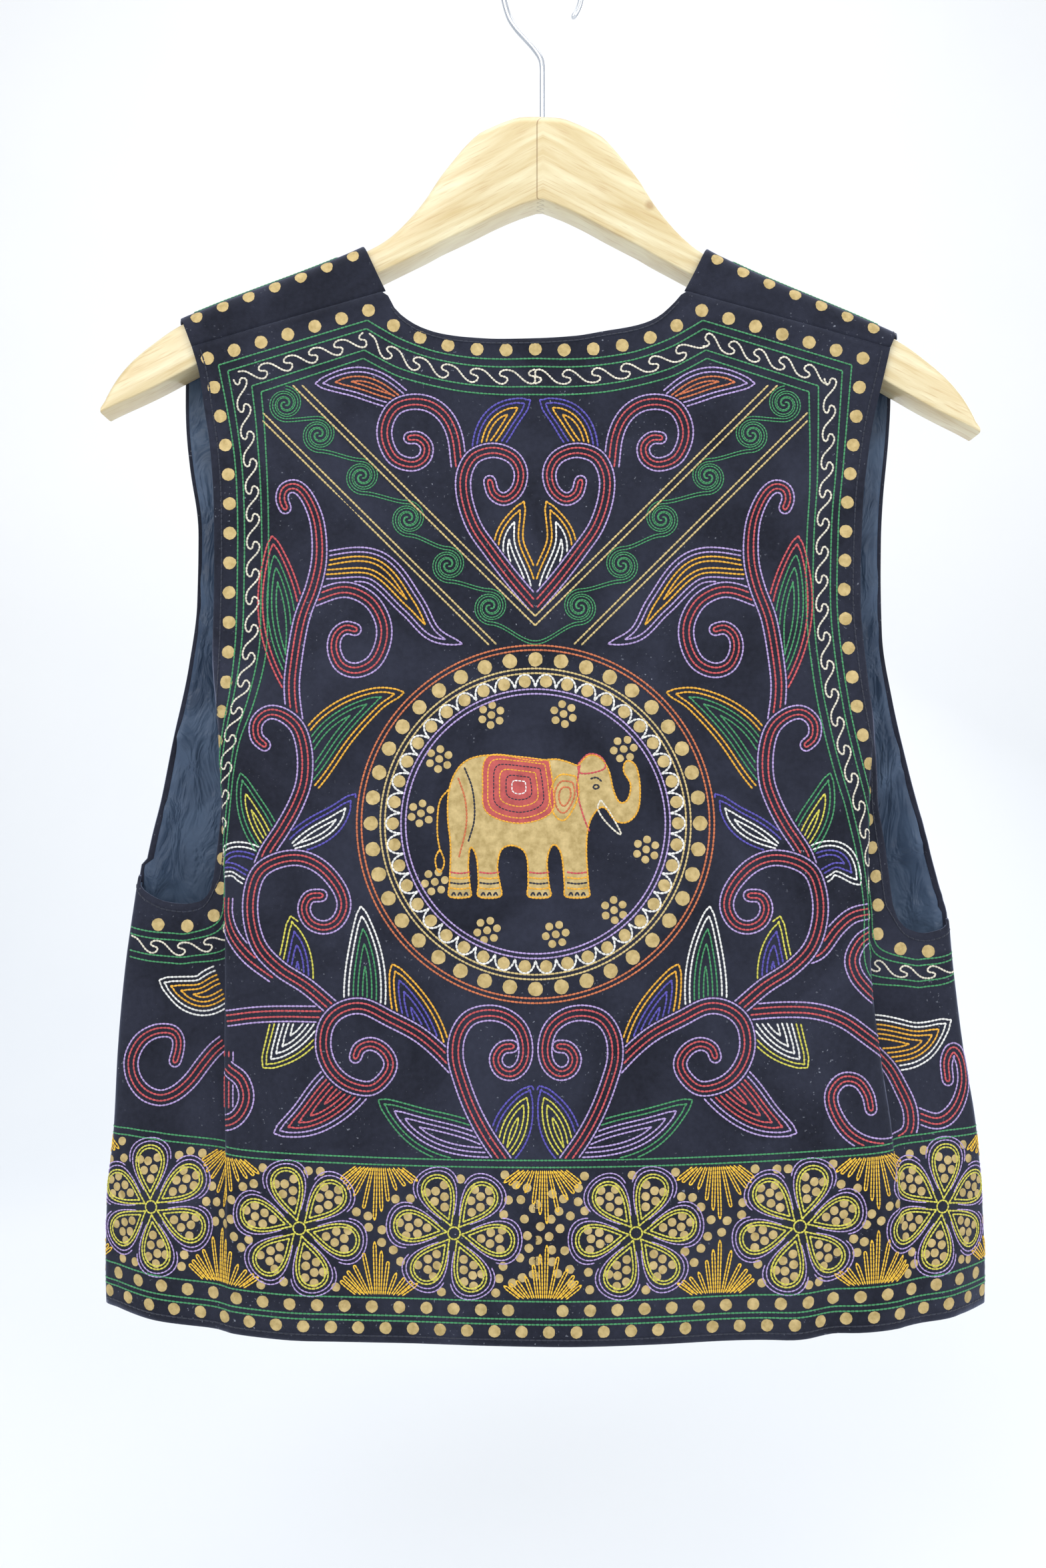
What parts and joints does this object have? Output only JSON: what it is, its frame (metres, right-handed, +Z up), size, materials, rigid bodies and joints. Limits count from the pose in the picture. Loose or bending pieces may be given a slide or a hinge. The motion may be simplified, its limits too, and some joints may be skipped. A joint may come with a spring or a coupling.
{
  "type": "embroidered vest on a wooden hanger",
  "caption": "Dark velvet vest with a round neck, deep armholes, chain-stitched floral borders and a ringed medallion on its back, on a mitred wooden hanger with a wire hook.",
  "frame": {"origin": "the point inside the top of the hook where a rod bears, in the hook's own plane", "axes": "+Z up; the back of the vest faces -Y and its open fronts face +Y; +X is the right of someone who looks at the back"},
  "size_m": [0.4512, 0.0604, 0.7036],
  "materials": {
    "lacquered_wood": "clear lacquer, satin",
    "bright_wire": "bright drawn steel wire",
    "dark_velvet": "short velvet pile, midnight blue",
    "slate_lining": "satin weave, slate blue"
  },
  "bodies": {
    "root": {"hanger_arm_left": "lacquered_wood", "hanger_arm_right": "lacquered_wood", "hanger_hook": "bright_wire", "velvet_back": "dark_velvet", "velvet_front_left": "dark_velvet", "velvet_front_right": "dark_velvet", "lining_back": "slate_lining", "lining_front_left": "slate_lining", "lining_front_right": "slate_lining"}
  },
  "joints": []
}
